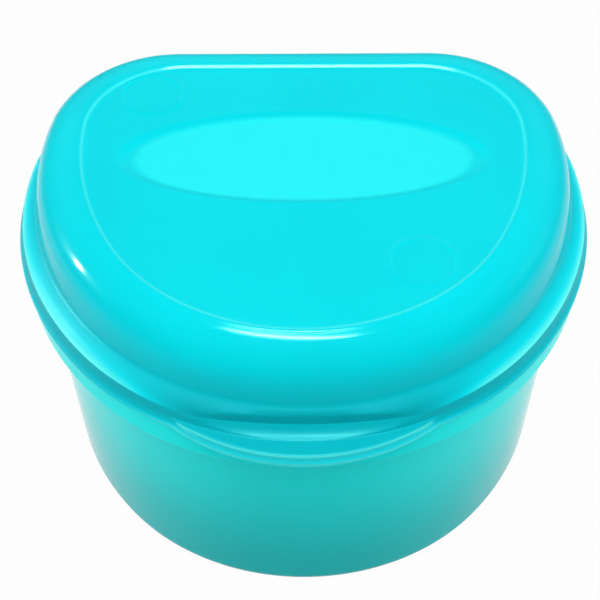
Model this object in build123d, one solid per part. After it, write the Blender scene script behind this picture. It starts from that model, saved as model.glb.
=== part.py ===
from build123d import *
import os
from math import asin, atan2, cos, degrees, hypot, radians, sin, sqrt, tan

# Denture case: a D-shaped cup and a domed lid that snaps on to it with a moulded hinge on the straight back.
# Millimetres. +Z is up, the thumb tab points along -Y, and the case stands on the table at z = 0.
# An "inset" is a distance inwards from the outline of the lid's lip, the widest outline of the case.

# Outline of the lid's lip, seen from above
HALF_WIDTH = 46.0
NOSE_REACH = 4.5  # how far the nose goes past a half circle of the case's width
NOSE_EASE = 2.6  # how much smaller the nose's radius is than the half width
BACK_DEPTH = 29.9  # from the widest line to the straight back
CORNER_RADIUS = 25.0

# Levels
PARTING_HEIGHT = 40.2
RIM_HEIGHT = 5.0
LIP_HEIGHT = 3.3
DOME_HEIGHT = 13.5  # lid's crown above the lip

# Cup
CUP_WALL = 1.6
CUP_TOP_INSET = 3.0
CUP_DRAFT = 4.7  # degrees
CUP_FLOOR = 1.8
FOOT_BEVEL = 1.5
FOOT_WIDTH = 4.0
FOOT_RECESS = 0.6
CUP_INNER_BEVEL = 2.0
RIM_INSET = 0.8
RIM_WALL = 1.1
FLANGE_THICKNESS = 1.5
NECK_WALL = 1.2
NECK_HEIGHT = 1.3

# Lid
LID_WALL = 1.6
LID_DRAFT = 8.0  # degrees
LIP_TAPER = 0.7
WALL_FOOT_INSET = 2.8
FLARE_BEVEL = 1.4  # fills the corner between the lip's top and the wall
SHOULDER_RADIUS = 7.5
LID_INNER_BEVEL = 3.5
CREST_INSET = 9.2
CREST_TILT = 31.0  # degrees that the crown's edge falls above the round shoulder
CREST_BEVEL = 1.3

# Sunk flat panel on the crown, with a D outline of its own
PANEL_HALF_WIDTH = 34.7
PANEL_NOSE_REACH = 7.2
PANEL_NOSE_EASE = 2.4
PANEL_BACK_DEPTH = 18.0
PANEL_CORNER_RADIUS = 16.0
PANEL_STEP = 0.5
PANEL_THICKNESS = 1.8

# Blank oval recess and the two round witness marks on the flat panel
OVAL_HALF_WIDTH = 29.0
OVAL_HALF_DEPTH = 11.0
OVAL_BORDER = 2.0
OVAL_RECESS = 0.8
OVAL_WALL = 0.9  # plastic beside the recess, below the panel
OVAL_Y = -4.5
MARK_RADIUS = 4.9
MARK_RECESS = 0.15
MARK_BORDER = 0.5
MARK_PLACES = [(17.3, -29.4), (-24.8, 9.0)]

# Thumb tab under the nose of the lip
TAB_RADIUS = 28.5
TAB_REACH = 2.95
TAB_THICKNESS = 1.7
TAB_ROOT = 2.0
SCOOP_RADIUS = 80.0
SCOOP_INSET = 2.3
SCOOP_BEVEL = 1.6

# Hinge
HINGE_GAP = 0.3  # between the ear and the lip beside it
HINGE_RISE = 0.8  # pivot above the parting plane
EAR_RADIUS = 3.4
EAR_THICKNESS = 3.5
EAR_ROOT_DROP = 0.6
KNUCKLE_RADIUS = 2.8
KNUCKLE_WIDTH = 6.5
KNUCKLE_SPACE = 7.0  # open space between the lid's two knuckles
KNUCKLE_END_GAP = 0.3
WEB_THICKNESS = 2.0
PEG_RADIUS = 1.5
PEG_LENGTH = 3.2
PEG_CLEARANCE = 0.06
LEAD_IN_DEPTH = 0.9
OPEN_ANGLE = 120.0  # degrees, where the stop heels meet the rim
HEEL_THICKNESS = 1.4
HEEL_DROP = 2.2  # height of the heel's touch below the pivot when open

# Clearances and edges
NECK_SIDE_GAP = 0.3
NECK_TOP_GAP = 0.3
STOP_GAP = 0.25
EDGE = 0.5
RIM_EDGE = 0.25
OVERLAP = 2.0  # how far joined solids run into each other before they are fused
CUT_MARGIN = 6.0  # how far a cutting solid runs past the material
TOUCH = 1e-6  # two points nearer than this are one
ROUND = "round"  # marks a corner that has an arc and not a bevel

# Worked out from the sizes above
NOSE_DEPTH = HALF_WIDTH + NOSE_REACH
LIP_TOP = PARTING_HEIGHT + LIP_HEIGHT
CROWN_TOP = LIP_TOP + DOME_HEIGHT
PANEL_TOP = CROWN_TOP - PANEL_STEP
RIM_BOTTOM = PARTING_HEIGHT - RIM_HEIGHT
HINGE_BEHIND = EAR_RADIUS + HINGE_GAP
HEEL_REACH = HINGE_BEHIND + RIM_INSET - STOP_GAP
HEEL_LENGTH = hypot(HEEL_REACH, HEEL_DROP)
HEEL_ANGLE = degrees(atan2(-HEEL_DROP, -HEEL_REACH)) + OPEN_ANGLE
HEEL_BACK = HEEL_LENGTH * cos(radians(HEEL_ANGLE)) + max(0, -HEEL_THICKNESS * sin(radians(HEEL_ANGLE)))
WIDEST_Y = (NOSE_DEPTH + TAB_REACH - BACK_DEPTH - HINGE_BEHIND - max(EAR_RADIUS, HEEL_BACK)) / 2
NOSE_Y = WIDEST_Y - NOSE_DEPTH
BACK_Y = WIDEST_Y + BACK_DEPTH
PIVOT_Y = BACK_Y + HINGE_BEHIND
PIVOT_Z = PARTING_HEIGHT + HINGE_RISE
CUP_SLOPE = tan(radians(CUP_DRAFT))
FOOT_INSET = CUP_TOP_INSET + PARTING_HEIGHT * CUP_SLOPE
NECK_OUTER = CUP_TOP_INSET + CUP_WALL - NECK_WALL
PLATE_INSET = CREST_INSET + CREST_BEVEL + OVERLAP
FLOOR_INSET = FOOT_INSET + FOOT_WIDTH + FOOT_RECESS + OVERLAP
KNUCKLE_OUTER = KNUCKLE_SPACE / 2 + KNUCKLE_WIDTH


def d_outline(half_width, nose_reach, nose_ease, back_depth, corner_radius, inset, z):
    """A D outline at height z, moved inwards: tangent nose, side and corner arcs and a straight back."""
    side_radius = half_width + nose_reach + nose_reach**2 / (2 * nose_ease)
    nose_radius = half_width - nose_ease
    side_x = side_radius - half_width
    nose_y = half_width + nose_reach - nose_radius
    corner_y = back_depth - corner_radius
    corner_x = sqrt((side_radius - corner_radius) ** 2 - corner_y**2) - side_x
    low = degrees(atan2(-nose_y, side_x))
    high = degrees(atan2(corner_y, corner_x + side_x))
    arcs = [
        (-corner_x, corner_y, corner_radius, 90, 90 - high),
        (side_x, 0, side_radius, 180 - high, high - low),
        (0, -nose_y, nose_radius, 180 - low, 180 + 2 * low),
        (-side_x, 0, side_radius, low, high - low),
        (corner_x, corner_y, corner_radius, high, 90 - high),
    ]
    back = back_depth - inset
    edges = [Line((0, back), (-corner_x, back))]
    edges += [CenterArc((x, y), radius - inset, start, size) for x, y, radius, start, size in arcs]
    edges.append(Line((corner_x, back), (0, back)))
    return Wire(edges).moved(Location((0, WIDEST_Y, z)))


def outline(inset, z=0.0):
    """The case's outline at height z, moved inwards."""
    return d_outline(HALF_WIDTH, NOSE_REACH, NOSE_EASE, BACK_DEPTH, CORNER_RADIUS, inset, z)


def panel_recess():
    """What is cut away above the sunk panel."""
    sizes = (PANEL_HALF_WIDTH, PANEL_NOSE_REACH, PANEL_NOSE_EASE, PANEL_BACK_DEPTH, PANEL_CORNER_RADIUS)
    return extrude(Face(d_outline(*sizes, 0, PANEL_TOP)), PANEL_STEP + CUT_MARGIN, dir=(0, 0, 1))


def plate(inset, low, high):
    """A flat plate with the D outline, from z = low to z = high."""
    return extrude(Face(outline(inset, low)), high - low, dir=(0, 0, 1))


def section(corners):
    """A closed face from corners: (a, b) is sharp, (a, b, leg) has a bevel, (a, b, radius, ROUND) has a tangent arc."""
    starts, ends, cuts = [], [], []
    for i, (a, b, *cut) in enumerate(corners):
        here = Vector(a, b)
        before = (Vector(*corners[i - 1][:2]) - here).normalized()
        after = (Vector(*corners[(i + 1) % len(corners)][:2]) - here).normalized()
        half = radians(before.get_angle(after)) / 2
        is_round = ROUND in cut
        reach = cut[0] / tan(half) if is_round else sum(cut)
        starts.append(here + before * reach)
        ends.append(here + after * reach)
        if is_round:
            middle = here + (before + after).normalized() * cut[0] * (1 / sin(half) - 1)
            cuts.append(ThreePointArc(starts[-1], middle, ends[-1]))
        elif cut:
            cuts.append(Line(starts[-1], ends[-1]))
    sides = [Line(ends[i - 1], start) for i, start in enumerate(starts) if (start - ends[i - 1]).length > TOUCH]
    return make_face(sides + cuts)


def ring(corners):
    """The (inset, z) section carried round the whole outline."""
    upright = Plane(origin=(0, BACK_Y, 0), x_dir=(0, 1, 0), z_dir=(1, 0, 0))
    return sweep(upright * section([(-inset, z, *cut) for inset, z, *cut in corners]), path=outline(0))


def disc(corners, x, y):
    """The (radius, z) section turned about the upright axis through (x, y)."""
    upright = Plane(origin=(x, y, 0), x_dir=(0, 1, 0), z_dir=(1, 0, 0))
    return revolve(upright * section(corners), axis=Axis((x, y, 0), (0, 0, 1)))


def side_profile(corners, x_low, x_high):
    """The (y, z) section of a hinge piece, from x_low to x_high."""
    upright = Plane(origin=(x_low, 0, 0), x_dir=(0, 1, 0), z_dir=(1, 0, 0))
    return extrude(upright * section(corners), x_high - x_low, dir=(1, 0, 0))


def rod(radius, x_low, x_high):
    """A round bar on the hinge's pivot line."""
    turned = Plane(origin=(x_low, PIVOT_Y, PIVOT_Z), x_dir=(0, 1, 0), z_dir=(1, 0, 0))
    return extrude(turned * Circle(radius), x_high - x_low, dir=(1, 0, 0))


def both_sides(piece):
    """The piece and its mirror image across the case's middle."""
    return piece + mirror(piece, Plane.YZ)


def cup_shell():
    """Drafted wall with neck, flange and downturned rim skirt, a ring foot and a recessed floor."""
    flange_under = PARTING_HEIGHT - FLANGE_THICKNESS
    neck_top = PARTING_HEIGHT + NECK_HEIGHT
    floor_top = FOOT_RECESS + CUP_FLOOR
    skirt_inner = RIM_INSET + RIM_WALL
    foot_inner = FOOT_INSET + FOOT_WIDTH
    wall = ring(
        [
            (RIM_INSET, RIM_BOTTOM),
            (RIM_INSET, PARTING_HEIGHT, RIM_EDGE),
            (NECK_OUTER, PARTING_HEIGHT),
            (NECK_OUTER, neck_top, EDGE),
            (FOOT_INSET - neck_top * CUP_SLOPE + CUP_WALL, neck_top),
            (FOOT_INSET - floor_top * CUP_SLOPE + CUP_WALL, floor_top, CUP_INNER_BEVEL),
            (FLOOR_INSET, floor_top),
            (FLOOR_INSET, FOOT_RECESS),
            (foot_inner + FOOT_RECESS, FOOT_RECESS),
            (foot_inner, 0),
            (FOOT_INSET, 0, FOOT_BEVEL),
            (FOOT_INSET - flange_under * CUP_SLOPE, flange_under),
            (skirt_inner, flange_under),
            (skirt_inner, RIM_BOTTOM),
        ]
    )
    return wall + plate(FLOOR_INSET - OVERLAP, FOOT_RECESS, floor_top)


def ear():
    """One hinge ear on the rim, with its bore and the sloped lead-in that the lid's peg snaps down."""
    x_low = KNUCKLE_OUTER + KNUCKLE_END_GAP
    x_high = x_low + EAR_THICKNESS
    root_y = BACK_Y - RIM_INSET - RIM_WALL / 2
    root_top = PARTING_HEIGHT - EAR_ROOT_DROP
    reach_y = PIVOT_Y - root_y
    drop = PIVOT_Z - RIM_BOTTOM
    lean = atan2(-drop, -reach_y) + (radians(90) - asin(EAR_RADIUS / hypot(reach_y, drop)))
    tangent = (PIVOT_Y + EAR_RADIUS * cos(lean), PIVOT_Z + EAR_RADIUS * sin(lean))
    shelf = (PIVOT_Z - root_top) / EAR_RADIUS
    front = (PIVOT_Y - EAR_RADIUS * sqrt(1 - shelf**2), root_top)
    bracket = side_profile(
        [
            (root_y, root_top),
            (root_y, RIM_BOTTOM),
            tangent,
            (PIVOT_Y, PIVOT_Z),
            front,
        ],
        x_low,
        x_high,
    )
    solid = bracket + rod(EAR_RADIUS, x_low, x_high)
    solid -= rod(PEG_RADIUS + PEG_CLEARANCE, x_low - CUT_MARGIN, x_high + CUT_MARGIN)
    slot = Plane(origin=(0, PIVOT_Y - PEG_RADIUS, 0), x_dir=(1, 0, 0), z_dir=(0, -1, 0))
    ramp = [
        (x_low - OVERLAP, PIVOT_Z),
        (x_low, PIVOT_Z),
        (x_low + LEAD_IN_DEPTH, PIVOT_Z + EAR_RADIUS + EDGE),
        (x_low - OVERLAP, PIVOT_Z + EAR_RADIUS + EDGE),
    ]
    return solid - extrude(slot * section(ramp), 2 * PEG_RADIUS, dir=(0, 1, 0))


def knuckle():
    """One lid knuckle: barrel, web to the lip, outward peg, and the heel that stops the open lid."""
    x_low = KNUCKLE_SPACE / 2
    web_low = PARTING_HEIGHT + HINGE_GAP
    web = side_profile(
        [
            (BACK_Y - OVERLAP, web_low),
            (PIVOT_Y, web_low),
            (PIVOT_Y, web_low + WEB_THICKNESS),
            (BACK_Y - OVERLAP, web_low + WEB_THICKNESS),
        ],
        x_low,
        KNUCKLE_OUTER,
    )
    across = Plane(origin=(x_low, PIVOT_Y, PIVOT_Z), x_dir=(0, 1, 0), z_dir=(1, 0, 0))
    bar = Pos(HEEL_LENGTH / 2, HEEL_THICKNESS / 2) * Rectangle(HEEL_LENGTH, HEEL_THICKNESS)
    heel_face = Rot(0, 0, HEEL_ANGLE) * bar
    heel = extrude(across * heel_face, KNUCKLE_WIDTH, dir=(1, 0, 0))
    peg = rod(PEG_RADIUS, KNUCKLE_OUTER - OVERLAP, KNUCKLE_OUTER + KNUCKLE_END_GAP + PEG_LENGTH)
    peg = chamfer(peg.edges().sort_by(Axis.X)[-1], EDGE)
    return rod(KNUCKLE_RADIUS, x_low, KNUCKLE_OUTER) + web + heel + peg


def dome():
    """The lid's shell: lip with its rebate, flared foot, drafted wall, round shoulder and the sunk flat panel."""
    slope = tan(radians(LID_DRAFT))
    fall = tan(radians(CREST_TILT))
    wall_start = WALL_FOOT_INSET - LIP_TOP * slope
    shoulder_z = (CROWN_TOP - (CREST_INSET - wall_start) * fall) / (1 - slope * fall)
    shoulder_inset = wall_start + shoulder_z * slope
    ceiling = PARTING_HEIGHT + NECK_HEIGHT + NECK_TOP_GAP
    under = PANEL_TOP - PANEL_THICKNESS
    rebate = NECK_OUTER - NECK_SIDE_GAP
    shell = ring(
        [
            (0, PARTING_HEIGHT),
            (LIP_TAPER, LIP_TOP),
            (WALL_FOOT_INSET, LIP_TOP, FLARE_BEVEL),
            (shoulder_inset, shoulder_z, SHOULDER_RADIUS, ROUND),
            (CREST_INSET, CROWN_TOP, CREST_BEVEL),
            (PLATE_INSET, CROWN_TOP),
            (PLATE_INSET, under),
            (wall_start + under * slope + LID_WALL, under, LID_INNER_BEVEL),
            (wall_start + ceiling * slope + LID_WALL, ceiling),
            (rebate, ceiling),
            (rebate, PARTING_HEIGHT),
        ]
    )
    return shell + plate(PLATE_INSET - OVERLAP, under, CROWN_TOP) - panel_recess()


def oval(half_width, half_depth, z):
    """A flat ellipse over the middle of the panel."""
    return Pos(0, WIDEST_Y + OVAL_Y, z) * Ellipse(half_width, half_depth)


def oval_solid(grow, top):
    """The oval's sloped sides, as deep as the recess, spread outwards by grow."""
    wide = oval(OVAL_HALF_WIDTH + grow, OVAL_HALF_DEPTH + grow, top)
    narrow = oval(OVAL_HALF_WIDTH - OVAL_BORDER + grow, OVAL_HALF_DEPTH - OVAL_BORDER + grow, top - OVAL_RECESS)
    return loft([narrow, wide], ruled=True)


def witness_mark(x, y):
    """The shallow round mark that a mould insert leaves."""
    floor = PANEL_TOP - MARK_RECESS
    return disc(
        [
            (0, PANEL_TOP),
            (0, floor),
            (MARK_RADIUS - MARK_BORDER, floor),
            (MARK_RADIUS, PANEL_TOP),
        ],
        x,
        WIDEST_Y + y,
    )


def thumb_tab():
    """The crescent that stands out under the nose of the lip."""
    top = PARTING_HEIGHT + TAB_THICKNESS
    round_tab = disc(
        [
            (0, PARTING_HEIGHT),
            (TAB_RADIUS, PARTING_HEIGHT, EDGE),
            (TAB_RADIUS, top, EDGE),
            (0, top),
        ],
        0,
        NOSE_Y - TAB_REACH + TAB_RADIUS,
    )
    return round_tab - plate(TAB_ROOT, PARTING_HEIGHT - CUT_MARGIN, top + CUT_MARGIN)


def scoop():
    """The hollow cut into the lip above the thumb tab."""
    low = PARTING_HEIGHT + TAB_THICKNESS
    high = LIP_TOP + CUT_MARGIN
    return disc(
        [
            (SCOOP_RADIUS, low, SCOOP_BEVEL),
            (SCOOP_RADIUS + CUT_MARGIN, low),
            (SCOOP_RADIUS + CUT_MARGIN, high),
            (SCOOP_RADIUS, high),
        ],
        0,
        NOSE_Y + SCOOP_INSET + SCOOP_RADIUS,
    )


def cup():
    """The lower half of the case, with the hinge's two ears."""
    return cup_shell() + both_sides(ear())


def lid():
    """The upper half of the case, with thumb tab, oval recess, witness marks and hinge knuckles."""
    solid = dome() + oval_solid(OVAL_WALL, PANEL_TOP - PANEL_THICKNESS)
    solid -= oval_solid(0, PANEL_TOP)
    for x, y in MARK_PLACES:
        solid -= witness_mark(x, y)
    solid -= scoop()
    return solid + thumb_tab() + both_sides(knuckle())


def main():
    os.makedirs("parts", exist_ok=True)
    export_step(cup(), "parts/cup.step")
    export_step(lid(), "parts/lid.step")


main()
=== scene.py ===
import bpy
import numpy as np
from mathutils import Matrix, Vector


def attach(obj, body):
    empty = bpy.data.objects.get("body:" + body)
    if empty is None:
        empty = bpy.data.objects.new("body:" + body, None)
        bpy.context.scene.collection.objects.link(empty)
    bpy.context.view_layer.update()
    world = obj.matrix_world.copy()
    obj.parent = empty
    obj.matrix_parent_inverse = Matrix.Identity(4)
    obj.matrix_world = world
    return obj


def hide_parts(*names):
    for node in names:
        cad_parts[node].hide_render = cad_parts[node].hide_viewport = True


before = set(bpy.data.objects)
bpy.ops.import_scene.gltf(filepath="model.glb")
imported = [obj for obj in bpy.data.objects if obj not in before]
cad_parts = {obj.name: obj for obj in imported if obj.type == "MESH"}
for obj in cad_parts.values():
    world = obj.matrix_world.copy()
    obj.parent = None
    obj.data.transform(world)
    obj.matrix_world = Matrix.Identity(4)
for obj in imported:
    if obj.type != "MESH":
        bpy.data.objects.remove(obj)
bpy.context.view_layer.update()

# Denture case: glossy smooth surfaces for the cup, the lid and their moulded hinge, on a pale floor in soft
# studio light. Shapes are worked out in millimetres and written to the meshes in metres. +Z is up, and the
# thumb tab points along -Y. An "inset" is a distance inwards from the outline of the lid's lip, and a "round"
# is the radius of a rounded edge.

MM = 0.001

# Outline of the lip, seen from above
HALF_WIDTH = 46.0
NOSE_REACH = 4.5
NOSE_EASE = 2.6
BACK_DEPTH = 29.9
CORNER_RADIUS = 25.0
NOSE_DEPTH = HALF_WIDTH + NOSE_REACH

# Levels
PARTING_HEIGHT = 40.2
LIP_TOP = PARTING_HEIGHT + 3.3
CROWN_TOP = LIP_TOP + 13.5
PANEL_TOP = CROWN_TOP - 0.5
RIM_BOTTOM = PARTING_HEIGHT - 5.0

# Cup
CUP_WALL = 1.6
CUP_TOP_INSET = 3.0
CUP_SLOPE = np.tan(np.radians(4.7))
FOOT_INSET = CUP_TOP_INSET + PARTING_HEIGHT * CUP_SLOPE
FOOT_RADIUS = 2.2
FOOT_WIDTH = 4.0
FOOT_RECESS = 0.6
FOOT_ROUND = 0.5
FOOT_ROOT = 0.3
FLOOR_TOP = FOOT_RECESS + 1.8
INNER_CORNER = 3.0
RIM_INSET = 0.8
RIM_WALL = 1.1
RIM_ROUND = 0.35
FLANGE_UNDER = PARTING_HEIGHT - 1.5
FLANGE_ROUND = 0.3
FLANGE_ROOT = 0.4
MOUTH_ROUND = 0.25
NECK_OUTER = CUP_TOP_INSET + CUP_WALL - 1.2
NECK_TOP = PARTING_HEIGHT + 1.3
NECK_ROUND = 0.45
NECK_ROOT = 0.15

# Lid
LID_WALL = 1.6
LID_SLOPE = np.tan(np.radians(8.0))
LIP_TAPER = 0.7
LIP_CREST = LIP_TOP + 2.8
LIP_SLANT = 0.85
LIP_RISE = 1.3
LIP_ROUND = 4.0
LIP_EDGE = 0.12
LIP_BAND = 0.55  # inset at the level of the tab's top, below which the lip flares out
LIP_BASE = 0.7
LIP_BASE_ROUND = 0.5
LIP_UNDER_INSETS = (1.2, 2.2)  # of the two rings on the lip's flat underside
WALL_FOOT_INSET = 2.8
WALL_START = WALL_FOOT_INSET - LIP_TOP * LID_SLOPE
SHOULDER_RADIUS = 7.5
SHOULDER_INSET = WALL_START + CROWN_TOP * LID_SLOPE
SHOULDER_MIDDLE = SHOULDER_INSET + SHOULDER_RADIUS * np.tan((np.pi / 2 - np.arctan(LID_SLOPE)) / 2)
FLARE_RADIUS = 1.5
PANEL_UNDER = PANEL_TOP - 1.8
REBATE_INSET = NECK_OUTER - 0.3
REBATE_TOP = NECK_TOP + 0.3
REBATE_ROUND = 0.2
REBATE_LEDGE = 0.3

# Sunk panel's own outline
PANEL_HALF_WIDTH = 34.7
PANEL_NOSE_REACH = 7.2
PANEL_NOSE_EASE = 2.4
PANEL_BACK_DEPTH = 18.0
PANEL_CORNER_RADIUS = 16.0
PANEL_EDGE = 0.45

# Blank oval recess, its pad on the inside, and the two round witness marks
OVAL_HALF_WIDTH = 29.0
OVAL_HALF_DEPTH = 11.0
OVAL_BORDER = 1.7
OVAL_RECESS = 0.6
OVAL_RIM_ROUND = 0.3
OVAL_ROOT_ROUND = 0.4
OVAL_MARGIN = 1.5
OVAL_BEHIND = -4.5
PAD_GROWTH = 0.9
PAD_MARGIN = 0.6
PAD_ROUND = 0.5
MARK_RADIUS = 4.9
MARK_HEIGHT = 0.18
MARK_WALL = 0.5
MARK_SKIRT = 1.1
MARK_SINK = 0.005
MARK_PLACES = [(17.3, -28.5), (-24.4, 11.0)]

# Thumb tab, and the hollow above it
TAB_RADIUS = 28.5
TAB_REACH = 2.95
TAB_TOP = PARTING_HEIGHT + 1.7
TAB_EDGE = 0.5
SCOOP_RADIUS = 80.0
SCOOP_INSET = 2.3
SCOOP_COVE = 2.2
SCOOP_EDGE = 0.12

# Hinge
EAR_RADIUS = 3.4
EAR_THICKNESS = 3.5
EAR_ROUND = 0.3
EAR_ROOT_DROP = 0.6
HINGE_GAP = 0.3
KNUCKLE_RADIUS = 2.8
KNUCKLE_INNER = 3.5
KNUCKLE_OUTER = 10.0
KNUCKLE_ROUND = 0.35
KNUCKLE_END_GAP = 0.3
WEB_THICKNESS = 2.0
WEB_ROOT = 1.0
WEB_ROUND = 0.25
PEG_RADIUS = 1.5
PEG_LENGTH = 3.2
PEG_CLEARANCE = 0.06
PEG_ROOT = 1.0
PEG_ROUND = 0.5
BORE_ROUND = 0.2
LEAD_IN_DEPTH = 0.9
LEAD_IN_TOP = EAR_RADIUS + 0.5
OPEN_ANGLE = np.radians(120.0)
HEEL_THICKNESS = 1.4
HEEL_DROP = 2.2
HEEL_REACH = EAR_RADIUS + HINGE_GAP + RIM_INSET - 0.25
HEEL_LENGTH = np.hypot(HEEL_REACH, HEEL_DROP)
HEEL_ANGLE = np.arctan2(-HEEL_DROP, -HEEL_REACH) + OPEN_ANGLE
SECTION_ROUND = 0.2
KNUCKLE_OFFSET = 0.05  # distance by which web and heel stay inside the barrel's ends
EAR_OFFSET = 0.03  # distance by which the bracket stays inside the ear's faces
EAR_OVERLAP = 0.02  # depth by which the bracket's underside ends inside the ear's round

# Places along the case
HEEL_BACK = HEEL_LENGTH * np.cos(HEEL_ANGLE) + max(0, -HEEL_THICKNESS * np.sin(HEEL_ANGLE))
HINGE_BEHIND = EAR_RADIUS + HINGE_GAP
WIDEST_Y = (NOSE_DEPTH + TAB_REACH - BACK_DEPTH - HINGE_BEHIND - max(EAR_RADIUS, HEEL_BACK)) / 2
NOSE_Y = WIDEST_Y - NOSE_DEPTH
BACK_Y = WIDEST_Y + BACK_DEPTH
PIVOT_Y = BACK_Y + HINGE_BEHIND
PIVOT_Z = PARTING_HEIGHT + 0.8
OVAL_Y = WIDEST_Y + OVAL_BEHIND

# Fineness of the surfaces
STRETCH_STEPS = (30, 80, 70, 220, 70, 80, 30)  # points along back, corner, side, nose, side, corner and back
CORNER_STEP = np.radians(11.0)
GUARD = 0.05  # distance from a rounded edge to the ring that keeps the flat beside it flat
EAR_STEPS = 96
MARK_STEPS = 120
BAND_STEPS = 12
BAND_GAP = 0.2  # height of the lip's top edge, above the first of its band's rings
CIRCLE_STEPS = 48
SLACK = 0.01

# Painted light and shade on the lid: where each form lies
SIDE_TURN = (0.35, 0.75)  # sideways part of the outline's normal, where the side begins and where it is full
NOSE_TURN = (0.7, 0.9)  # forward part of the normal, in the same way
NOSE_INSET = REBATE_INSET - 0.2
BEAD_INSET = WALL_FOOT_INSET + 0.5
BEAD_FALL = 0.9
BORDER_WIDTH = PANEL_EDGE / 2.5
UPPER_BRIM = (TAB_TOP - TAB_EDGE / 2, 0.2)
LOWER_BRIM = (PARTING_HEIGHT + LIP_BASE / 2, 0.3)
COVE_FLOOR = TAB_TOP - 0.1
COVE_FADE = (TAB_TOP + 1.0, TAB_TOP + 1.8)
WALL_FADE = (LIP_CREST, LIP_TOP + 8.0)
FLANK_FADE = (0, 8.0)
FLARE_START = 1.2
UNDER_LIP_FADE = ((LIP_TOP - 0.15) * MM, (LIP_TOP - 0.02) * MM)
LIP_BASE_FADE = ((PARTING_HEIGHT + LIP_BASE) * MM, (PARTING_HEIGHT + LIP_BASE + 0.4) * MM)
SATIN_FADE = ((LIP_CREST - 0.3) * MM, (LIP_CREST + 0.5) * MM)
OVAL_FADE = (0.86, 0.96)  # shares of the oval's size
OVAL_DEPTHS = ((PANEL_TOP - 2 * OVAL_RECESS) * MM, (PANEL_TOP - OVAL_RECESS) * MM)

# How far each form goes towards the painted highlight colour or the painted shade colour
BORDER_LIGHT = 0.4
BRIM_LIGHT = 0.6
COVE_SHADE = 0.4
WALL_SHADE = 0.6
FLANK_SHADE = 0.36
FLARE_SHADE = 0.4
RIM_SHADE = 0.6

# Plastics, in linear colour
LID_PIGMENT = (0.002, 0.78, 0.87, 1)
LID_PIGMENT_DEEP = (0.002, 0.74, 0.84, 1)
# Painted light on the oval recess's floor
OVAL_LIGHT = (0.02, 0.92, 0.97, 1)
# Colour of the painted highlights and painted sheen on the lid's bead, panel border and tab brims
PAINTED_HIGHLIGHT_MINT = (0.14, 0.98, 0.93, 1)
# Colour of the painted shade on the lid's wall, flanks, flare, cove and lip face
PAINTED_SHADE_TEAL = (0.002, 0.4, 0.47, 1)
CUP_PIGMENT = (0.002, 1.0, 0.98, 1)
CUP_PIGMENT_DEEP = (0.002, 0.97, 0.95, 1)
# Painted shade towards the cup's foot
CUP_FOOT_PAINTED_SHADE = (0.002, 0.5, 0.51, 1)
GLOSS_TINT = (0.2, 0.95, 0.9, 1)
LID_GLOSS = 0.07
CUP_GLOSS = 0.09
PLASTIC_IOR = 1.49

# Skin of the plastic. A noise's scale is its number of lumps in a metre.
CLOUD_SCALE = 38.0
FLOW_SCALE = 260.0
FLOW_HEIGHT = 0.55
SPECK_SCALE = 1400.0
SPECK_HEIGHT = 0.1
SPECK_ROUGHNESS = 0.03
HAZE_SCALE = 90.0
HAZE_ROUGHNESS = 0.05
SKIN_ROUGHNESS = 0.09
LIP_SATIN = 0.3
BUMP_DEPTH = 0.05 * MM
BUMP_STRENGTH = 0.04

# Studio, in metres
SEEN_BY = ("Is Camera Ray", "Is Transmission Ray", "Is Glossy Ray")
WHITE = (1, 1, 1, 1)
FLOOR_SIZE = 6.0
FLOOR_GLOW = 0.97
PAPER_NEAR = 0.12
PAPER_FAR = 0.25
PAPER_GREYS = (0.45, 0.49)
PAPER_SCALE = 900.0
PAPER_FAR_GREY = 0.2
HORIZON_GREY = 0.22
ZENITH_GREY = 0.6
AIR_FADE = (0.05, 0.6)  # upward part of the direction, from the horizon's grey to the zenith's
CUP_MIDDLE = (0, 0, 0.03)
LID_MIDDLE = (0, 0, 0.05)

# Camera
IMAGE_SIZE = 600
SENSOR = 36.0
FOCAL_PIXELS = 1696.7
TARGET = Vector((-0.06, 9.55, 20.0)) * MM
DISTANCE = 293.65 * MM
ELEVATION = 0.78
ROLL = -0.0042
TARGET_PIXEL = (303.5, 293.25)


# ---------------------------------------------------------------- shapes

def ramp(value, low, high):
    """Rises evenly from 0 at low to 1 at high."""
    return np.clip((value - low) / (high - low), 0, 1)


def smooth(value, low, high):
    """Rises from 0 at low to 1 at high as 3 s^2 - 2 s^3, where s is the share of the way."""
    share = ramp(value, low, high)
    return share**2 * (3 - 2 * share)


def bell(value, middle, width):
    """1 at the middle, falling off on both sides as e to the minus square of the distance over the width."""
    return np.exp(-(((value - middle) / width) ** 2))


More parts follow.
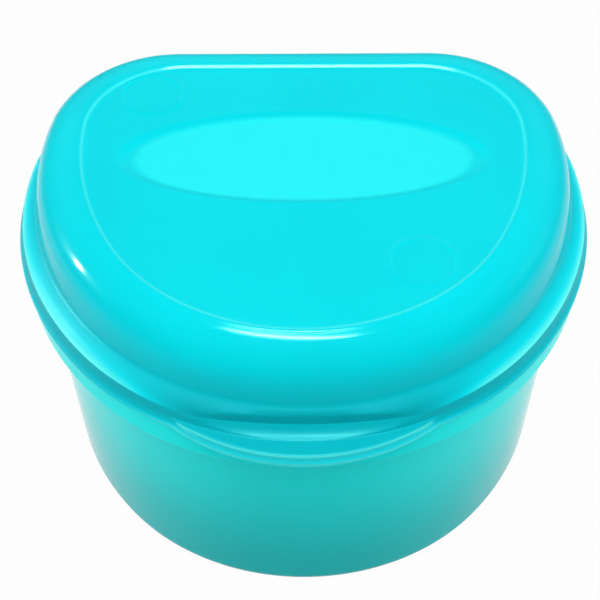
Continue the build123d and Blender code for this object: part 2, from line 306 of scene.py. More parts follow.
def d_outline(half_width, nose_reach, nose_ease, back_depth, corner_radius):
    """Points and outward normals of a D outline, counterclockwise from the middle of the back.

    Each stretch is a centre plus a radius along its normal, and the normal's angle runs evenly through the
    stretch. The two halves of the straight back keep the normal +Y and run along X instead.
    """
    side_radius = half_width + nose_reach + nose_reach**2 / (2 * nose_ease)
    nose_radius = half_width - nose_ease
    side_x = side_radius - half_width
    nose_y = nose_radius - half_width - nose_reach
    corner_y = back_depth - corner_radius
    corner_x = np.sqrt((side_radius - corner_radius) ** 2 - corner_y**2) - side_x
    low = np.arctan2(nose_y, side_x)
    high = np.arctan2(corner_y, corner_x + side_x)
    full, back = 2 * np.pi, np.pi / 2
    stretches = [
        (0, -corner_x, back_depth, 0, back, back),
        (-corner_x, -corner_x, corner_y, corner_radius, back, np.pi - high),
        (side_x, side_x, 0, side_radius, np.pi - high, np.pi - low),
        (0, 0, nose_y, nose_radius, np.pi - low, full + low),
        (-side_x, -side_x, 0, side_radius, full + low, full + high),
        (corner_x, corner_x, corner_y, corner_radius, full + high, full + back),
        (corner_x, 0, back_depth, 0, full + back, full + back),
    ]
    points, normals = [], []
    for steps, (x_start, x_end, y, radius, start, end) in zip(STRETCH_STEPS, stretches):
        share = np.linspace(0, 1, steps, endpoint=False)
        angle = start + (end - start) * share
        normal = np.stack([np.cos(angle), np.sin(angle)], axis=1)
        x = x_start + (x_end - x_start) * share
        centre = np.stack([x, np.full_like(share, WIDEST_Y + y)], axis=1)
        points.append(centre + radius * normal)
        normals.append(normal)
    return np.concatenate(points), np.concatenate(normals)


def bent(corners):
    """An open (a, b) line through the corners, each turned with a tangent arc of its own radius.

    Beside every arc the straight run gets one more point, GUARD away, so that smooth shading leaves it flat.
    """
    line = [np.array(corners[0][:2], float)]
    for before, (a, b, radius), after in zip(corners[:-2], corners[1:-1], corners[2:]):
        here = np.array([a, b], float)
        back = np.array(before[:2], float) - here
        back /= np.hypot(*back)
        ahead = np.array(after[:2], float) - here
        ahead /= np.hypot(*ahead)
        half = np.arccos(np.clip(back @ ahead, -1, 1)) / 2
        reach = radius / np.tan(half)
        middle = here + (back + ahead) / np.hypot(*(back + ahead)) * radius / np.sin(half)
        turn = np.pi - 2 * half
        steps = max(3, round(turn / CORNER_STEP))
        start, end = here + back * reach - middle, here + ahead * reach - middle
        share = np.linspace(0, 1, steps + 1)[:, None]
        arc = middle + (np.sin((1 - share) * turn) * start + np.sin(share * turn) * end) / np.sin(turn)
        line += [arc[0] + back * GUARD, *arc, arc[-1] + ahead * GUARD]
    line.append(np.array(corners[-1][:2], float))
    return np.array(line)


LIP_POINTS, LIP_NORMALS = d_outline(HALF_WIDTH, NOSE_REACH, NOSE_EASE, BACK_DEPTH, CORNER_RADIUS)
PANEL_POINTS, PANEL_NORMALS = d_outline(
    PANEL_HALF_WIDTH, PANEL_NOSE_REACH, PANEL_NOSE_EASE, PANEL_BACK_DEPTH, PANEL_CORNER_RADIUS
)


def d_rings(profile):
    """The lip's outline moved inwards by each inset of the (inset, z) profile and lifted to its z."""
    flat = LIP_POINTS[None] - profile[:, 0, None, None] * LIP_NORMALS[None]
    height = np.broadcast_to(profile[:, 1, None, None], (*flat.shape[:2], 1))
    return np.concatenate([flat, height], axis=2)


def oval_rings(profile):
    """Ellipses grown by each first value of the profile, with each point on the ray to its outline point."""
    away = PANEL_POINTS - (0, OVAL_Y)
    angle = np.arctan2(away[:, 1] / OVAL_HALF_DEPTH, away[:, 0] / OVAL_HALF_WIDTH)[None]
    x = (OVAL_HALF_WIDTH + profile[:, :1]) * np.cos(angle)
    y = OVAL_Y + (OVAL_HALF_DEPTH + profile[:, :1]) * np.sin(angle)
    return np.stack([x, y, np.broadcast_to(profile[:, 1:], x.shape)], axis=2)


def crown_height(places):
    """Height of the crown over each place: the shoulder's arc by its inset from the lip, and level beyond."""
    inset = ((LIP_POINTS - places) * LIP_NORMALS).sum(axis=-1)
    short = np.maximum(SHOULDER_MIDDLE - inset, 0)
    return CROWN_TOP - SHOULDER_RADIUS + np.sqrt(SHOULDER_RADIUS**2 - short**2)


def sunk_panel(outer):
    """Rings from the sunk panel's flat, over its step, to the crown, and along the crown to the outer ring.

    Across the step the height rises smoothly from the panel to the crown.
    """
    aside = np.concatenate([[-4 * PANEL_EDGE], np.linspace(-1, 1, 9) * PANEL_EDGE])[:, None]
    places = PANEL_POINTS + aside[..., None] * PANEL_NORMALS
    step = np.maximum(crown_height(places) - PANEL_TOP, 0) * smooth(aside, -PANEL_EDGE, PANEL_EDGE)
    along = np.linspace(0, 1, 8)[1:-1, None, None]
    beyond = places[-1] * (1 - along) + outer[:, :2] * along
    heights = np.concatenate([PANEL_TOP + step, crown_height(beyond)])
    return np.concatenate([np.concatenate([places, beyond]), heights[..., None]], axis=2)


def arc_y(x, nose_y, radius):
    """y of a circle of that radius whose lowest point is at nose_y on the middle line."""
    return nose_y + radius - np.sqrt(np.maximum(radius**2 - x**2, 0))


def hollowed(rings):
    """The rings, pushed back to the scoop's wall where they would stand in front of it.

    The wall is upright, and in the lowest SCOOP_COVE above the tab it comes forward along a quarter circle.
    The larger of two depths a and b is softened to (a + b + root((a - b)^2 + SCOOP_EDGE^2)) / 2.
    """
    rise = np.clip(rings[..., 2] - TAB_TOP, 0, SCOOP_COVE)
    cove = SCOOP_COVE - np.sqrt(SCOOP_COVE**2 - (SCOOP_COVE - rise) ** 2)
    gap = rings[..., 1] - arc_y(rings[..., 0], NOSE_Y + SCOOP_INSET, SCOOP_RADIUS) + cove
    rings[..., 1] += (np.sqrt(gap**2 + SCOOP_EDGE**2) - gap) / 2
    return rings


def tabbed(rings, insets):
    """The rings below the tab's top, drawn forward to the tab's round edge, less each ring's inset."""
    x = rings[..., 0]
    edge = arc_y(x, NOSE_Y - TAB_REACH, TAB_RADIUS) + insets[:, None]
    near = (rings[..., 1] < WIDEST_Y - HALF_WIDTH / 2) & (np.abs(x) < TAB_RADIUS)
    rings[..., 1] = np.where(near, np.minimum(rings[..., 1], edge), rings[..., 1])
    return rings


def tab_shelf(upper, lower):
    """Rings from the lip to the tab's edge: level first, then falling by a quarter circle.

    Its radius is the tab's edge, or a third of the shelf's width where that is less.
    """
    width = np.hypot(*(upper - lower)[:, :2].T)
    edge = np.minimum(TAB_EDGE, width / 3)
    turn = np.linspace(0, np.pi / 2, 7)[:, None]
    level = (width - edge - GUARD) * np.linspace(0.1, 1, 4)[:, None]
    shares = np.concatenate([level, width - edge * (1 - np.sin(turn))]) / np.maximum(width, GUARD / 10)
    shelf = upper + (lower - upper) * np.clip(shares, 0, 1)[..., None]
    shelf[..., 2] = TAB_TOP - np.concatenate([0 * level, edge * (1 - np.cos(turn))])
    return shelf


def capped(rings):
    """Mesh data of rings joined into a tube, closed round and capped by a middle point at each end."""
    count, around = rings.shape[:2]
    index = np.arange(count * around).reshape(count, around)
    beside = np.roll(index, -1, axis=1)
    sides = np.stack([index[:-1], index[1:], beside[1:], beside[:-1]], axis=-1).reshape(-1, 4)
    first, last = count * around, count * around + 1
    start = np.stack([np.full(around, first), index[0], beside[0]], axis=-1)
    end = np.stack([np.full(around, last), beside[-1], index[-1]], axis=-1)
    middles = [rings[0].mean(axis=0), rings[-1].mean(axis=0)]
    return np.concatenate([rings.reshape(-1, 3), middles]), [sides, start, end]


def looped(rings):
    """Mesh data of rings joined into a tube whose last ring meets its first."""
    index = np.arange(rings.shape[0] * rings.shape[1]).reshape(rings.shape[:2])
    ahead = np.roll(index, -1, axis=0)
    faces = np.stack([index, ahead, np.roll(ahead, -1, axis=1), np.roll(index, -1, axis=1)], axis=-1)
    return rings.reshape(-1, 3), [faces.reshape(-1, 4)]


def mirrored(mesh):
    """The mesh across the case's middle, with its faces turned back outwards."""
    points, groups = mesh
    return points * (-1, 1, 1), [group[:, ::-1] for group in groups]


def add_piece(name, body, meshes, finish):
    """One object from several meshes, in metres, smooth, riding on its body."""
    points = np.concatenate([mesh[0] for mesh in meshes]) * MM
    starts = np.cumsum([0] + [len(mesh[0]) for mesh in meshes])
    faces = []
    for start, (_, groups) in zip(starts, meshes):
        for group in groups:
            faces += (group + start).tolist()
    data = bpy.data.meshes.new(name)
    data.from_pydata(points.tolist(), [], faces)
    data.polygons.foreach_set("use_smooth", np.ones(len(data.polygons), bool))
    data.materials.append(finish)
    piece = bpy.data.objects.new(name, data)
    bpy.context.scene.collection.objects.link(piece)
    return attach(piece, body)


# ---------------------------------------------------------------- cup and lid

def cup_shell():
    """Cup: one section carried round the outline, from the floor inside, over neck and rim, to the foot."""
    inner_foot = FOOT_INSET + CUP_WALL
    middle = inner_foot + INNER_CORNER + FOOT_WIDTH
    return capped(d_rings(bent([
        (middle, FLOOR_TOP),
        (inner_foot - FLOOR_TOP * CUP_SLOPE, FLOOR_TOP, INNER_CORNER),
        (inner_foot - NECK_TOP * CUP_SLOPE, NECK_TOP, MOUTH_ROUND),
        (NECK_OUTER, NECK_TOP, NECK_ROUND),
        (NECK_OUTER, PARTING_HEIGHT, NECK_ROOT),
        (RIM_INSET, PARTING_HEIGHT, FLANGE_ROUND),
        (RIM_INSET, RIM_BOTTOM, RIM_ROUND),
        (RIM_INSET + RIM_WALL, RIM_BOTTOM, RIM_ROUND),
        (RIM_INSET + RIM_WALL, FLANGE_UNDER, MOUTH_ROUND),
        (FOOT_INSET - FLANGE_UNDER * CUP_SLOPE, FLANGE_UNDER, FLANGE_ROOT),
        (FOOT_INSET, 0, FOOT_RADIUS),
        (FOOT_INSET + FOOT_WIDTH, 0, FOOT_ROUND),
        (FOOT_INSET + FOOT_WIDTH + FOOT_RECESS, FOOT_RECESS, FOOT_ROOT),
        (middle, FOOT_RECESS),
    ])))


def lip_band():
    """(inset, z) points down the lip from under its top edge to the tab's top.

    They crowd towards the bottom by the square of their share, because the hollow's cove turns fastest there.
    """
    low, high = np.array([LIP_BAND, TAB_TOP]), np.array([LIP_TAPER, LIP_TOP])
    longest = 1 - BAND_GAP / (LIP_TOP - TAB_TOP)
    return low + longest * np.linspace(1, 0, BAND_STEPS)[:, None] ** 2 * (high - low)


def lid_shell():
    """Lid: oval recess, panel, step, shoulder, wall, lip with its thumb tab and hollow, rebate and inside."""
    recess = bent([
        (-OVAL_BORDER - OVAL_MARGIN, PANEL_TOP - OVAL_RECESS),
        (-OVAL_BORDER, PANEL_TOP - OVAL_RECESS, OVAL_ROOT_ROUND),
        (0, PANEL_TOP, OVAL_RIM_ROUND),
        (OVAL_MARGIN, PANEL_TOP),
    ])
    crown = bent([
        (2 * SHOULDER_MIDDLE, CROWN_TOP),
        (SHOULDER_INSET, CROWN_TOP, SHOULDER_RADIUS),
        (WALL_START + LIP_CREST * LID_SLOPE, LIP_CREST, FLARE_RADIUS),
        (LIP_TAPER + LIP_SLANT, LIP_TOP + LIP_RISE, LIP_ROUND),
        (LIP_TAPER, LIP_TOP, LIP_EDGE),
        (LIP_BAND, TAB_TOP),
    ])
    base = bent([
        (LIP_BAND, TAB_TOP),
        (0, PARTING_HEIGHT + LIP_BASE, LIP_BASE_ROUND),
        (0, PARTING_HEIGHT, REBATE_ROUND),
        (LIP_UNDER_INSETS[0], PARTING_HEIGHT),
    ])
    inside = bent([
        (LIP_UNDER_INSETS[1], PARTING_HEIGHT),
        (REBATE_INSET, PARTING_HEIGHT, REBATE_ROUND),
        (REBATE_INSET, REBATE_TOP, REBATE_ROUND),
        (WALL_START + REBATE_TOP * LID_SLOPE + LID_WALL, REBATE_TOP, REBATE_LEDGE),
        (WALL_START + PANEL_UNDER * LID_SLOPE + LID_WALL, PANEL_UNDER, SHOULDER_RADIUS - LID_WALL),
        (2 * SHOULDER_RADIUS, PANEL_UNDER),
    ])
    pad = bent([
        (PAD_GROWTH + PAD_MARGIN, PANEL_UNDER),
        (PAD_GROWTH, PANEL_UNDER, OVAL_RIM_ROUND),
        (PAD_GROWTH - OVAL_BORDER, PANEL_UNDER - OVAL_RECESS, PAD_ROUND),
        (PAD_GROWTH - OVAL_BORDER - 1, PANEL_UNDER - OVAL_RECESS),
    ])
    crown = crown[crown[:, 0] < SHOULDER_RADIUS]
    above = hollowed(d_rings(np.concatenate([crown[:-1], lip_band()])))
    below = tabbed(d_rings(base), base[:, 0])
    below[0, :, 2] = TAB_TOP - TAB_EDGE
    outside = [oval_rings(recess), sunk_panel(above[0]), above, tab_shelf(above[-1], below[0]), below[1:]]
    return capped(np.concatenate([*outside, d_rings(inside), oval_rings(pad)]))


def painted_light_and_shade(points):
    """Painted light and shade at each point of the lid's shell: towards 1 for painted highlight and sheen,
    towards -1 for painted shade.

    The lip's bead gets painted sheen at the sides alone, most at its foot and less by the square of its
    height. The panel's border and the tab's two brims get painted highlights by bells across them. The wall
    gets painted shade by an even ramp down its height, the flanks by one away from the panel, and the flare
    and the cove by one down each.
    """
    own = np.arange(len(points)) % len(LIP_POINTS)
    inset = ((LIP_POINTS[own] - points[:, :2]) * LIP_NORMALS[own]).sum(axis=1)
    past = ((points[:, :2] - PANEL_POINTS[own]) * PANEL_NORMALS[own]).sum(axis=1)
    z = points[:, 2]
    rise = (z - LIP_TOP) / (LIP_CREST - LIP_TOP)
    above = rise > -SLACK
    side = smooth(np.abs(LIP_NORMALS[own, 0]), *SIDE_TURN)
    nose = ramp(-LIP_NORMALS[own, 1], *NOSE_TURN) * (inset < NOSE_INSET)
    bead = side * np.clip(1 - BEAD_FALL * np.maximum(rise, 0), 0, 1) ** 2 * above * (inset < BEAD_INSET)
    border = bell(past, 0, BORDER_WIDTH) * (z > PANEL_TOP - SLACK)
    brims = bell(z, *UPPER_BRIM) + bell(z, *LOWER_BRIM)
    cove = (1 - ramp(z, *COVE_FADE)) * (z > COVE_FLOOR)
    wall = (1 - ramp(z, *WALL_FADE)) * above
    flank = ramp(past, *FLANK_FADE) * side
    flare = np.clip(FLARE_START - rise, 0, 1) * above * (1 - side)
    # Painted shade from the wall, flanks and flare
    painted_shade = np.maximum(WALL_SHADE * wall, FLANK_SHADE * flank) + FLARE_SHADE * flare
    return bead + BORDER_LIGHT * border + nose * (BRIM_LIGHT * brims - COVE_SHADE * cove) - painted_shade * (1 - bead)


def witness_mark(x, y):
    """Round mark left by the mould: a low rim that is steep inside and fades out into the panel outside.

    Its height is h sin^2 across the inner wall, and h (1 - s)^2 across the skirt, where s is the share of its
    width.
    """
    rise = np.linspace(0, np.pi / 2, 9)
    share = np.linspace(0, 1, 12)[1:]
    away = np.concatenate([MARK_WALL * (rise / rise[-1] - 1), MARK_SKIRT * share, [MARK_SKIRT, -MARK_WALL]])
    lift = np.concatenate([np.sin(rise) ** 2, (1 - share) ** 2, [-1, -1]]) * MARK_HEIGHT - MARK_SINK
    angle = np.linspace(0, 2 * np.pi, MARK_STEPS, endpoint=False)
    radius = (MARK_RADIUS + away)[:, None]
    ring_x, ring_y = x + radius * np.cos(angle), WIDEST_Y + y + radius * np.sin(angle)
    ring_z = np.broadcast_to(PANEL_TOP + lift[:, None], ring_x.shape)
    return looped(np.stack([ring_x, ring_y, ring_z], axis=2))


# ---------------------------------------------------------------- hinge

def bar(section, x_low, x_high, edge):
    """A closed (y, z) section carried along X, drawn in by a quarter circle of that edge at each end."""
    turn = np.linspace(0, np.pi / 2, 4)
    x = np.concatenate([x_low + edge * (1 - np.cos(turn)), x_high - edge * (1 - np.cos(turn[::-1]))])
    draw = np.concatenate([edge * (1 - np.sin(turn)), edge * (1 - np.sin(turn[::-1]))])
    middle = section.mean(axis=0)
    away = section - middle
    size = np.hypot(*away.T).max()
    flat = middle + away[None] * (1 - draw / size)[:, None, None]
    depth = np.broadcast_to(x[:, None, None], (len(x), len(section), 1))
    return capped(np.concatenate([depth, flat], axis=2)[::-1])


def circle(radius):
    """Points round the pivot, counterclockwise in (y, z)."""
    angle = np.linspace(0, 2 * np.pi, CIRCLE_STEPS, endpoint=False)
    return np.stack([PIVOT_Y + radius * np.cos(angle), PIVOT_Z + radius * np.sin(angle)], axis=1)


def closed_section(corners):
    """A closed (y, z) polygon whose (y, z, round) corners are rounded."""
    return bent([corners[-1], *corners, corners[0]])[1:-1]


def knuckle():
    """One lid knuckle: barrel, web to the lip, peg and stop heel."""
    web_low = PARTING_HEIGHT + HINGE_GAP
    web = closed_section([
        (BACK_Y - WEB_ROOT, web_low, SECTION_ROUND),
        (PIVOT_Y, web_low, SECTION_ROUND),
        (PIVOT_Y, web_low + WEB_THICKNESS, SECTION_ROUND),
        (BACK_Y - WEB_ROOT, web_low + WEB_THICKNESS, SECTION_ROUND),
    ])
    along = np.array([np.cos(HEEL_ANGLE), np.sin(HEEL_ANGLE)])
    across = np.array([-along[1], along[0]]) * HEEL_THICKNESS
    pivot = np.array([PIVOT_Y, PIVOT_Z])
    tip = pivot + along * HEEL_LENGTH
    peg_end = KNUCKLE_OUTER + KNUCKLE_END_GAP + PEG_LENGTH
    heel = closed_section([
        (*pivot, SECTION_ROUND / 2),
        (*tip, SECTION_ROUND),
        (*(tip + across), SECTION_ROUND),
        (*(pivot + across), SECTION_ROUND / 2),
    ])
    return [
        bar(circle(KNUCKLE_RADIUS), KNUCKLE_INNER, KNUCKLE_OUTER, KNUCKLE_ROUND),
        bar(web, KNUCKLE_INNER + KNUCKLE_OFFSET, KNUCKLE_OUTER - KNUCKLE_OFFSET, WEB_ROUND),
        bar(heel, KNUCKLE_INNER + KNUCKLE_OFFSET, KNUCKLE_OUTER - KNUCKLE_OFFSET, WEB_ROUND),
        bar(circle(PEG_RADIUS), KNUCKLE_OUTER - PEG_ROOT, peg_end, PEG_ROUND),
    ]


def ear_ring(x_low, x_high, bore):
    """Ring of a cup ear round the peg, with its sloped lead-in: a rounded box section turned about the pivot.

    Above the bore, where |y| is less than the peg's radius, its inner face is sunk in proportion to height.
    """
    spread = np.linspace(bore + BORE_ROUND, EAR_RADIUS - EAR_ROUND, 9)
    section = np.array([
        *[(radius, x_low) for radius in spread],
        (EAR_RADIUS - EAR_ROUND / 3, x_low + EAR_ROUND / 3),
        (EAR_RADIUS, x_low + EAR_ROUND),
        (EAR_RADIUS, x_low + LEAD_IN_DEPTH + EAR_ROUND),
        (EAR_RADIUS, x_high - EAR_ROUND),
        (EAR_RADIUS - EAR_ROUND / 3, x_high - EAR_ROUND / 3),
        (EAR_RADIUS - EAR_ROUND, x_high),
        (bore + BORE_ROUND, x_high),
        (bore, x_high - BORE_ROUND),
        (bore, x_low + BORE_ROUND),
    ])
    angle = np.linspace(0, 2 * np.pi, EAR_STEPS, endpoint=False)
    y = section[:, :1] * np.cos(angle)
    z = section[:, :1] * np.sin(angle)
    x = np.broadcast_to(section[:, 1:], y.shape)
    sunk = LEAD_IN_DEPTH * np.clip(z / LEAD_IN_TOP, 0, 1) * (np.abs(y) < PEG_RADIUS)
    x = np.where(x < x_low + LEAD_IN_DEPTH, np.maximum(x, x_low + sunk), x)
    return looped(np.stack([x, PIVOT_Y + y, PIVOT_Z + z], axis=2))


def ear():
    """One cup ear: the ring round the peg, and the bracket that carries it on the rim.

    The bracket's underside is the ring's tangent through the rim's lower edge.
    """
    x_low = KNUCKLE_OUTER + KNUCKLE_END_GAP
    x_high = x_low + EAR_THICKNESS
    bore = PEG_RADIUS + PEG_CLEARANCE
    root_y = BACK_Y - RIM_INSET - RIM_WALL / 2
    root_top = PARTING_HEIGHT - EAR_ROOT_DROP
    reach, drop = PIVOT_Y - root_y, PIVOT_Z - RIM_BOTTOM
    lean = np.arctan2(-drop, -reach) + np.pi / 2 - np.arcsin(EAR_RADIUS / np.hypot(reach, drop))
    front = -np.pi - np.arcsin((root_top - PIVOT_Z) / EAR_RADIUS)
    touch = EAR_RADIUS - EAR_OVERLAP
    middle = (bore + EAR_RADIUS) / 2
    inward = np.linspace(lean, front, 9)
    bracket = np.array([
        (root_y, root_top),
        (root_y, RIM_BOTTOM),
        (PIVOT_Y + touch * np.cos(lean), PIVOT_Z + touch * np.sin(lean)),
        *zip(PIVOT_Y + middle * np.cos(inward), PIVOT_Z + middle * np.sin(inward)),
        (PIVOT_Y + EAR_RADIUS * np.cos(front), root_top),
    ])
    carrier = bar(bracket, x_low + EAR_OFFSET, x_high - EAR_OFFSET, SECTION_ROUND)
    return [ear_ring(x_low, x_high, bore), carrier]


# ---------------------------------------------------------------- materials

class Field:
    """A shader socket whose sums, differences, products and quotients add their Math nodes."""

    def __init__(self, finish, socket):
        self.finish = finish
        self.socket = socket

    def __add__(self, other):
        return self.finish.maths("ADD", self, other)

    def __radd__(self, other):
        return self.finish.maths("ADD", other, self)

    def __sub__(self, other):
        return self.finish.maths("SUBTRACT", self, other)

    def __rsub__(self, other):
        return self.finish.maths("SUBTRACT", other, self)

    def __mul__(self, other):
        return self.finish.maths("MULTIPLY", self, other)

    def __rmul__(self, other):
        return self.finish.maths("MULTIPLY", other, self)

    def __truediv__(self, other):
        return self.finish.maths("DIVIDE", self, other)

    def __rtruediv__(self, other):
        return self.finish.maths("DIVIDE", other, self)

    def step(self, low, high):
        """Rises smoothly from 0 at low to 1 at high."""
        settings = {"interpolation_type": "SMOOTHSTEP"}
        return self.finish.node("ShaderNodeMapRange", settings, {0: self, 1: low, 2: high})


class Finish:
    """The node tree of one procedural material, or of the surroundings."""

    def __init__(self, owner):
        owner.use_nodes = True
        self.owner = owner
        self.tree = owner.node_tree
        self.tree.nodes.clear()

    def node(self, kind, settings=None, values=None, output=0):
        """Adds a node: its settings first, then the values or links of its sockets. Gives one output."""
        made = self.tree.nodes.new(kind)
        for name, setting in (settings or {}).items():
            setattr(made, name, setting)
        for name, value in (values or {}).items():
            if isinstance(value, Field):
                self.tree.links.new(value.socket, made.inputs[name])
            else:
                made.inputs[name].default_value = value
        return Field(self, made.outputs[output] if made.outputs else None)

    def maths(self, operation, *values):
        """A Math node on sockets or numbers."""
        return self.node("ShaderNodeMath", {"operation": operation}, dict(enumerate(values)))

    def place(self):
        """The place on the object as a vector, and its x, y and z, all in metres."""
        where = self.node("ShaderNodeTexCoord", output="Object")
        return where, [self.node("ShaderNodeSeparateXYZ", {}, {0: where}, output=axis) for axis in range(3)]

    def noise(self, where, scale, detail, roughness=0.5):
        """Noise about 0.5 whose lumps are 1 / scale metres wide."""
        values = {"Vector": where, "Scale": scale, "Detail": detail, "Roughness": roughness}
        return self.node("ShaderNodeTexNoise", {"noise_dimensions": "3D"}, values)

    def blend(self, share, first, second):
        """A colour between two others. A share below 0 gives the first."""
        return self.node("ShaderNodeMix", {"data_type": "RGBA"}, {0: share, 6: first, 7: second}, output=2)

    def seen(self, in_gloss):
        """1 where it is seen straight or in glass, in_gloss where gloss shows it, and 0 for light alone."""
        straight, glass, gloss = [self.node("ShaderNodeLightPath", output=kind) for kind in SEEN_BY]
        return self.maths("MAXIMUM", self.maths("MAXIMUM", straight, glass), gloss * in_gloss)

    def finish(self, shader, output="ShaderNodeOutputMaterial"):
        """Closes the tree with its output."""
        self.node(output, {}, {0: shader})
        return self.owner


def clouded(plastic, where, pigment, deep):
    """Pigment that drifts between two close colours in soft clouds."""
    return plastic.blend(plastic.noise(where, CLOUD_SCALE, 3.0).step(0.3, 0.7), deep, pigment)


def moulded_skin(plastic, where, shade, gloss, satin=0.0):
    """Closes a moulded plastic: faint flow and orange peel, handling haze, and gloss in a tint of its own."""
    speck = plastic.noise(where, SPECK_SCALE, 2.0)
    height = plastic.noise(where, FLOW_SCALE, 2.0) * FLOW_HEIGHT + speck * SPECK_HEIGHT
    bumps = {"Strength": BUMP_STRENGTH, "Distance": BUMP_DEPTH, "Height": height}
    haze = plastic.noise(where, HAZE_SCALE, 4.0, 0.6).step(0.35, 0.7)
    return plastic.finish(plastic.node("ShaderNodeBsdfPrincipled", {}, {
        "Base Color": shade,
        "Roughness": SKIN_ROUGHNESS + satin + haze * HAZE_ROUGHNESS + speck * SPECK_ROUGHNESS,
        "Normal": plastic.node("ShaderNodeBump", {}, bumps),
        "IOR": PLASTIC_IOR,
        "Specular IOR Level": gloss,
        "Specular Tint": GLOSS_TINT,
    }))


def lid_plastic():
    """Lid: painted light on the oval recess's floor, painted highlights and sheen where its per-point share
    is above 0, painted shade where it is below 0 and on the lip's face, and satin on the lip.
    """
    plastic = Finish(bpy.data.materials.new("lid_plastic"))
    where, (x, y, z) = plastic.place()
    shade = clouded(plastic, where, LID_PIGMENT, LID_PIGMENT_DEEP)

    # Painted light: the oval recess's floor is lighter
    across = x / (OVAL_HALF_WIDTH * MM)
    along = (y - OVAL_Y * MM) / (OVAL_HALF_DEPTH * MM)
    oval = 1 - plastic.maths("SQRT", across * across + along * along).step(*OVAL_FADE)
    shade = plastic.blend(oval * z.step(*OVAL_DEPTHS), shade, OVAL_LIGHT)

    # Painted shade on the lip's face, from just above its base to just under its top edge
    rim = (1 - z.step(*UNDER_LIP_FADE)) * z.step(*LIP_BASE_FADE)
    shade = plastic.blend(rim * RIM_SHADE, shade, PAINTED_SHADE_TEAL)

    # Per-point share of painted light and shade: above 0 towards the painted highlight colour, below 0
    # towards the painted shade colour
    painted_lighting = plastic.node("ShaderNodeAttribute", {"attribute_name": "painted_lighting"}, output=2)
    shade = plastic.blend(painted_lighting, shade, PAINTED_HIGHLIGHT_MINT)
    shade = plastic.blend(-1 * painted_lighting, shade, PAINTED_SHADE_TEAL)

    satin = (1 - z.step(*SATIN_FADE)) * LIP_SATIN
    return moulded_skin(plastic, where, shade, LID_GLOSS, satin)


def cup_plastic():
    """Cup: painted shade, darker towards its foot."""
    plastic = Finish(bpy.data.materials.new("cup_plastic"))
    where, (_, _, z) = plastic.place()
    shade = clouded(plastic, where, CUP_PIGMENT, CUP_PIGMENT_DEEP)
    # Painted shade: darker towards the foot
    shade = plastic.blend(1 - z.step(0.0, PARTING_HEIGHT * MM), shade, CUP_FOOT_PAINTED_SHADE)
    return moulded_skin(plastic, where, shade, CUP_GLOSS)


def grey(level):
    """A grey of that linear level."""
    return level, level, level, 1


def paper_floor():
    """Pale matt paper with a faint grain. Seen straight or in a reflection it is mostly its own white."""
    paper = Finish(bpy.data.materials.new("floor_paper"))
    where, (x, y, _) = paper.place()
    near = 1 - paper.maths("SQRT", x * x + y * y).step(PAPER_NEAR, PAPER_FAR)
    pale = paper.blend(paper.noise(where, PAPER_SCALE, 3.0), *map(grey, PAPER_GREYS))
    matt = paper.node("ShaderNodeBsdfDiffuse", {}, {"Color": paper.blend(near, grey(PAPER_FAR_GREY), pale)})
    glow = paper.node("ShaderNodeEmission", {}, {"Color": WHITE, "Strength": 1.0})
    both = paper.node("ShaderNodeMixShader", {}, {0: paper.seen(near) * FLOOR_GLOW, 1: matt, 2: glow})
    return paper.finish(both)


def studio_air():
    """Surroundings: grey where they light things, white where they are seen."""
    air = Finish(bpy.data.worlds.new("studio_air"))
    direction = air.node("ShaderNodeTexCoord", output="Generated")
    high = air.node("ShaderNodeSeparateXYZ", {}, {0: direction}, output=2).step(*AIR_FADE)
    dim = air.blend(high, grey(HORIZON_GREY), grey(ZENITH_GREY))
    light = air.node("ShaderNodeBackground", {}, {"Color": dim, "Strength": 1.0})
    white = air.node("ShaderNodeBackground", {}, {"Color": WHITE, "Strength": 1.0})
    both = air.node("ShaderNodeMixShader", {}, {0: air.seen(high), 1: light, 2: white})
    return air.finish(both, "ShaderNodeOutputWorld")


# ---------------------------------------------------------------- pieces and studio

def dress_lid():
    """The lid's shell, with its mould marks and its per-point share of painted light and shade, and its two
    knuckles.
    """
    plastic = lid_plastic()
    surface = lid_shell()
    shell = add_piece("lid_shell", "lid", [surface] + [witness_mark(x, y) for x, y in MARK_PLACES], plastic)
    # Per-point share of painted light and shade, kept on the mesh for the lid's colour
    painted_lighting = np.zeros(len(shell.data.vertices))
    painted_lighting[:len(surface[0])] = painted_light_and_shade(surface[0])
    shell.data.attributes.new("painted_lighting", "FLOAT", "POINT").data.foreach_set("value", painted_lighting)
    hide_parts("lid")
    half = knuckle()
    knuckles = add_piece("lid_knuckles", "lid", half + [mirrored(mesh) for mesh in half], plastic)


def dress_cup():
    """The cup's shell and its two ears."""
    plastic = cup_plastic()
    shell = add_piece("cup_shell", "cup", [cup_shell()], plastic)
    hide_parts("cup")
    half = ear()
    ears = add_piece("cup_ears", "cup", half + [mirrored(mesh) for mesh in half], plastic)


def area_lamp(name, place, aim, size, power, in_gloss=False):
    """An oval soft lamp at place, facing aim. It either shows in gloss alone, or lights surfaces alone."""
    light = bpy.data.lights.new(name, "AREA")
    light.shape = "ELLIPSE"
    light.size, light.size_y = size
    light.energy = power
    lamp = bpy.data.objects.new(name, light)
    lamp.location = place
    lamp.rotation_euler = (Vector(aim) - Vector(place)).to_track_quat("-Z", "Y").to_euler()
    lamp.visible_diffuse = not in_gloss
    lamp.visible_glossy = in_gloss
    bpy.context.scene.collection.objects.link(lamp)


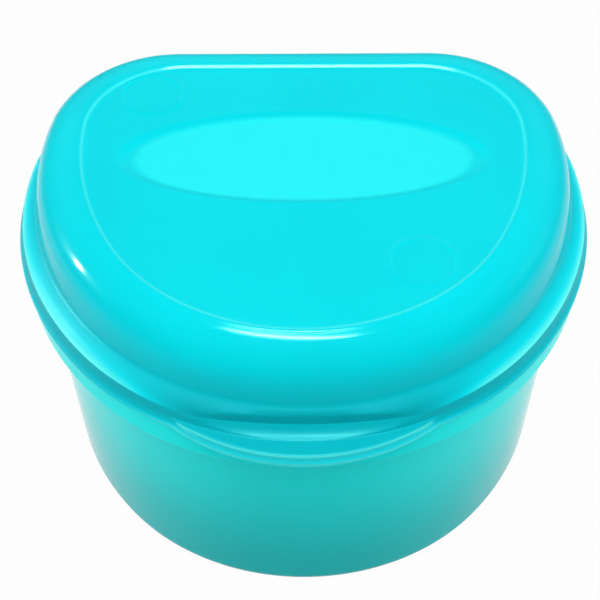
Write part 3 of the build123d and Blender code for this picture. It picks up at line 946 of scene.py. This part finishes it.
def studio():
    """Floor, surroundings and lamps."""
    data = bpy.data.meshes.new("floor")
    half = FLOOR_SIZE / 2
    corners = [(-half, -half, 0), (half, -half, 0), (half, half, 0), (-half, half, 0)]
    data.from_pydata(corners, [], [(0, 1, 2, 3)])
    data.materials.append(paper_floor())
    floor = bpy.data.objects.new("floor", data)
    bpy.context.scene.collection.objects.link(floor)

    bpy.context.scene.world = studio_air()

    area_lamp("overhead", (0, -0.5, 1.0), (0, 0, 0.04), size=(0.9, 0.7), power=5.5)
    area_lamp("left_fill", (-1.0, 0.2, 0.12), CUP_MIDDLE, size=(0.5, 0.3), power=4.4)
    area_lamp("right_fill", (1.0, 0.2, 0.12), CUP_MIDDLE, size=(0.5, 0.3), power=4.4)
    area_lamp("front_fill", (0, -1.0, 0.12), CUP_MIDDLE, size=(0.5, 0.3), power=0.6)
    area_lamp("front_window", (-0.06, -0.35, 1.05), LID_MIDDLE, size=(0.66, 0.11), power=108.0, in_gloss=True)
    area_lamp("left_window", (-1.1, 0.18, 0.13), LID_MIDDLE, size=(0.07, 0.13), power=11.0, in_gloss=True)


def camera():
    """The viewing camera: off the case's front, about 45 degrees up, with a long lens."""
    data = bpy.data.cameras.new("camera")
    data.sensor_width = SENSOR
    data.lens = FOCAL_PIXELS * SENSOR / IMAGE_SIZE
    data.shift_x = (IMAGE_SIZE / 2 - TARGET_PIXEL[0]) / IMAGE_SIZE
    data.shift_y = (TARGET_PIXEL[1] - IMAGE_SIZE / 2) / IMAGE_SIZE
    data.clip_start, data.clip_end = 0.01, 20.0
    eye = bpy.data.objects.new("camera", data)
    back = Vector((0, -np.cos(ELEVATION), np.sin(ELEVATION)))
    turn = (-back).to_track_quat("-Z", "Y").to_matrix() @ Matrix.Rotation(ROLL, 3, "Z")
    eye.matrix_world = Matrix.Translation(TARGET + back * DISTANCE) @ turn.to_4x4()
    bpy.context.scene.collection.objects.link(eye)
    bpy.context.scene.camera = eye


dress_lid()
dress_cup()
studio()
camera()

bpy.context.scene.view_settings.view_transform = "Standard"
bpy.context.view_layer.update()
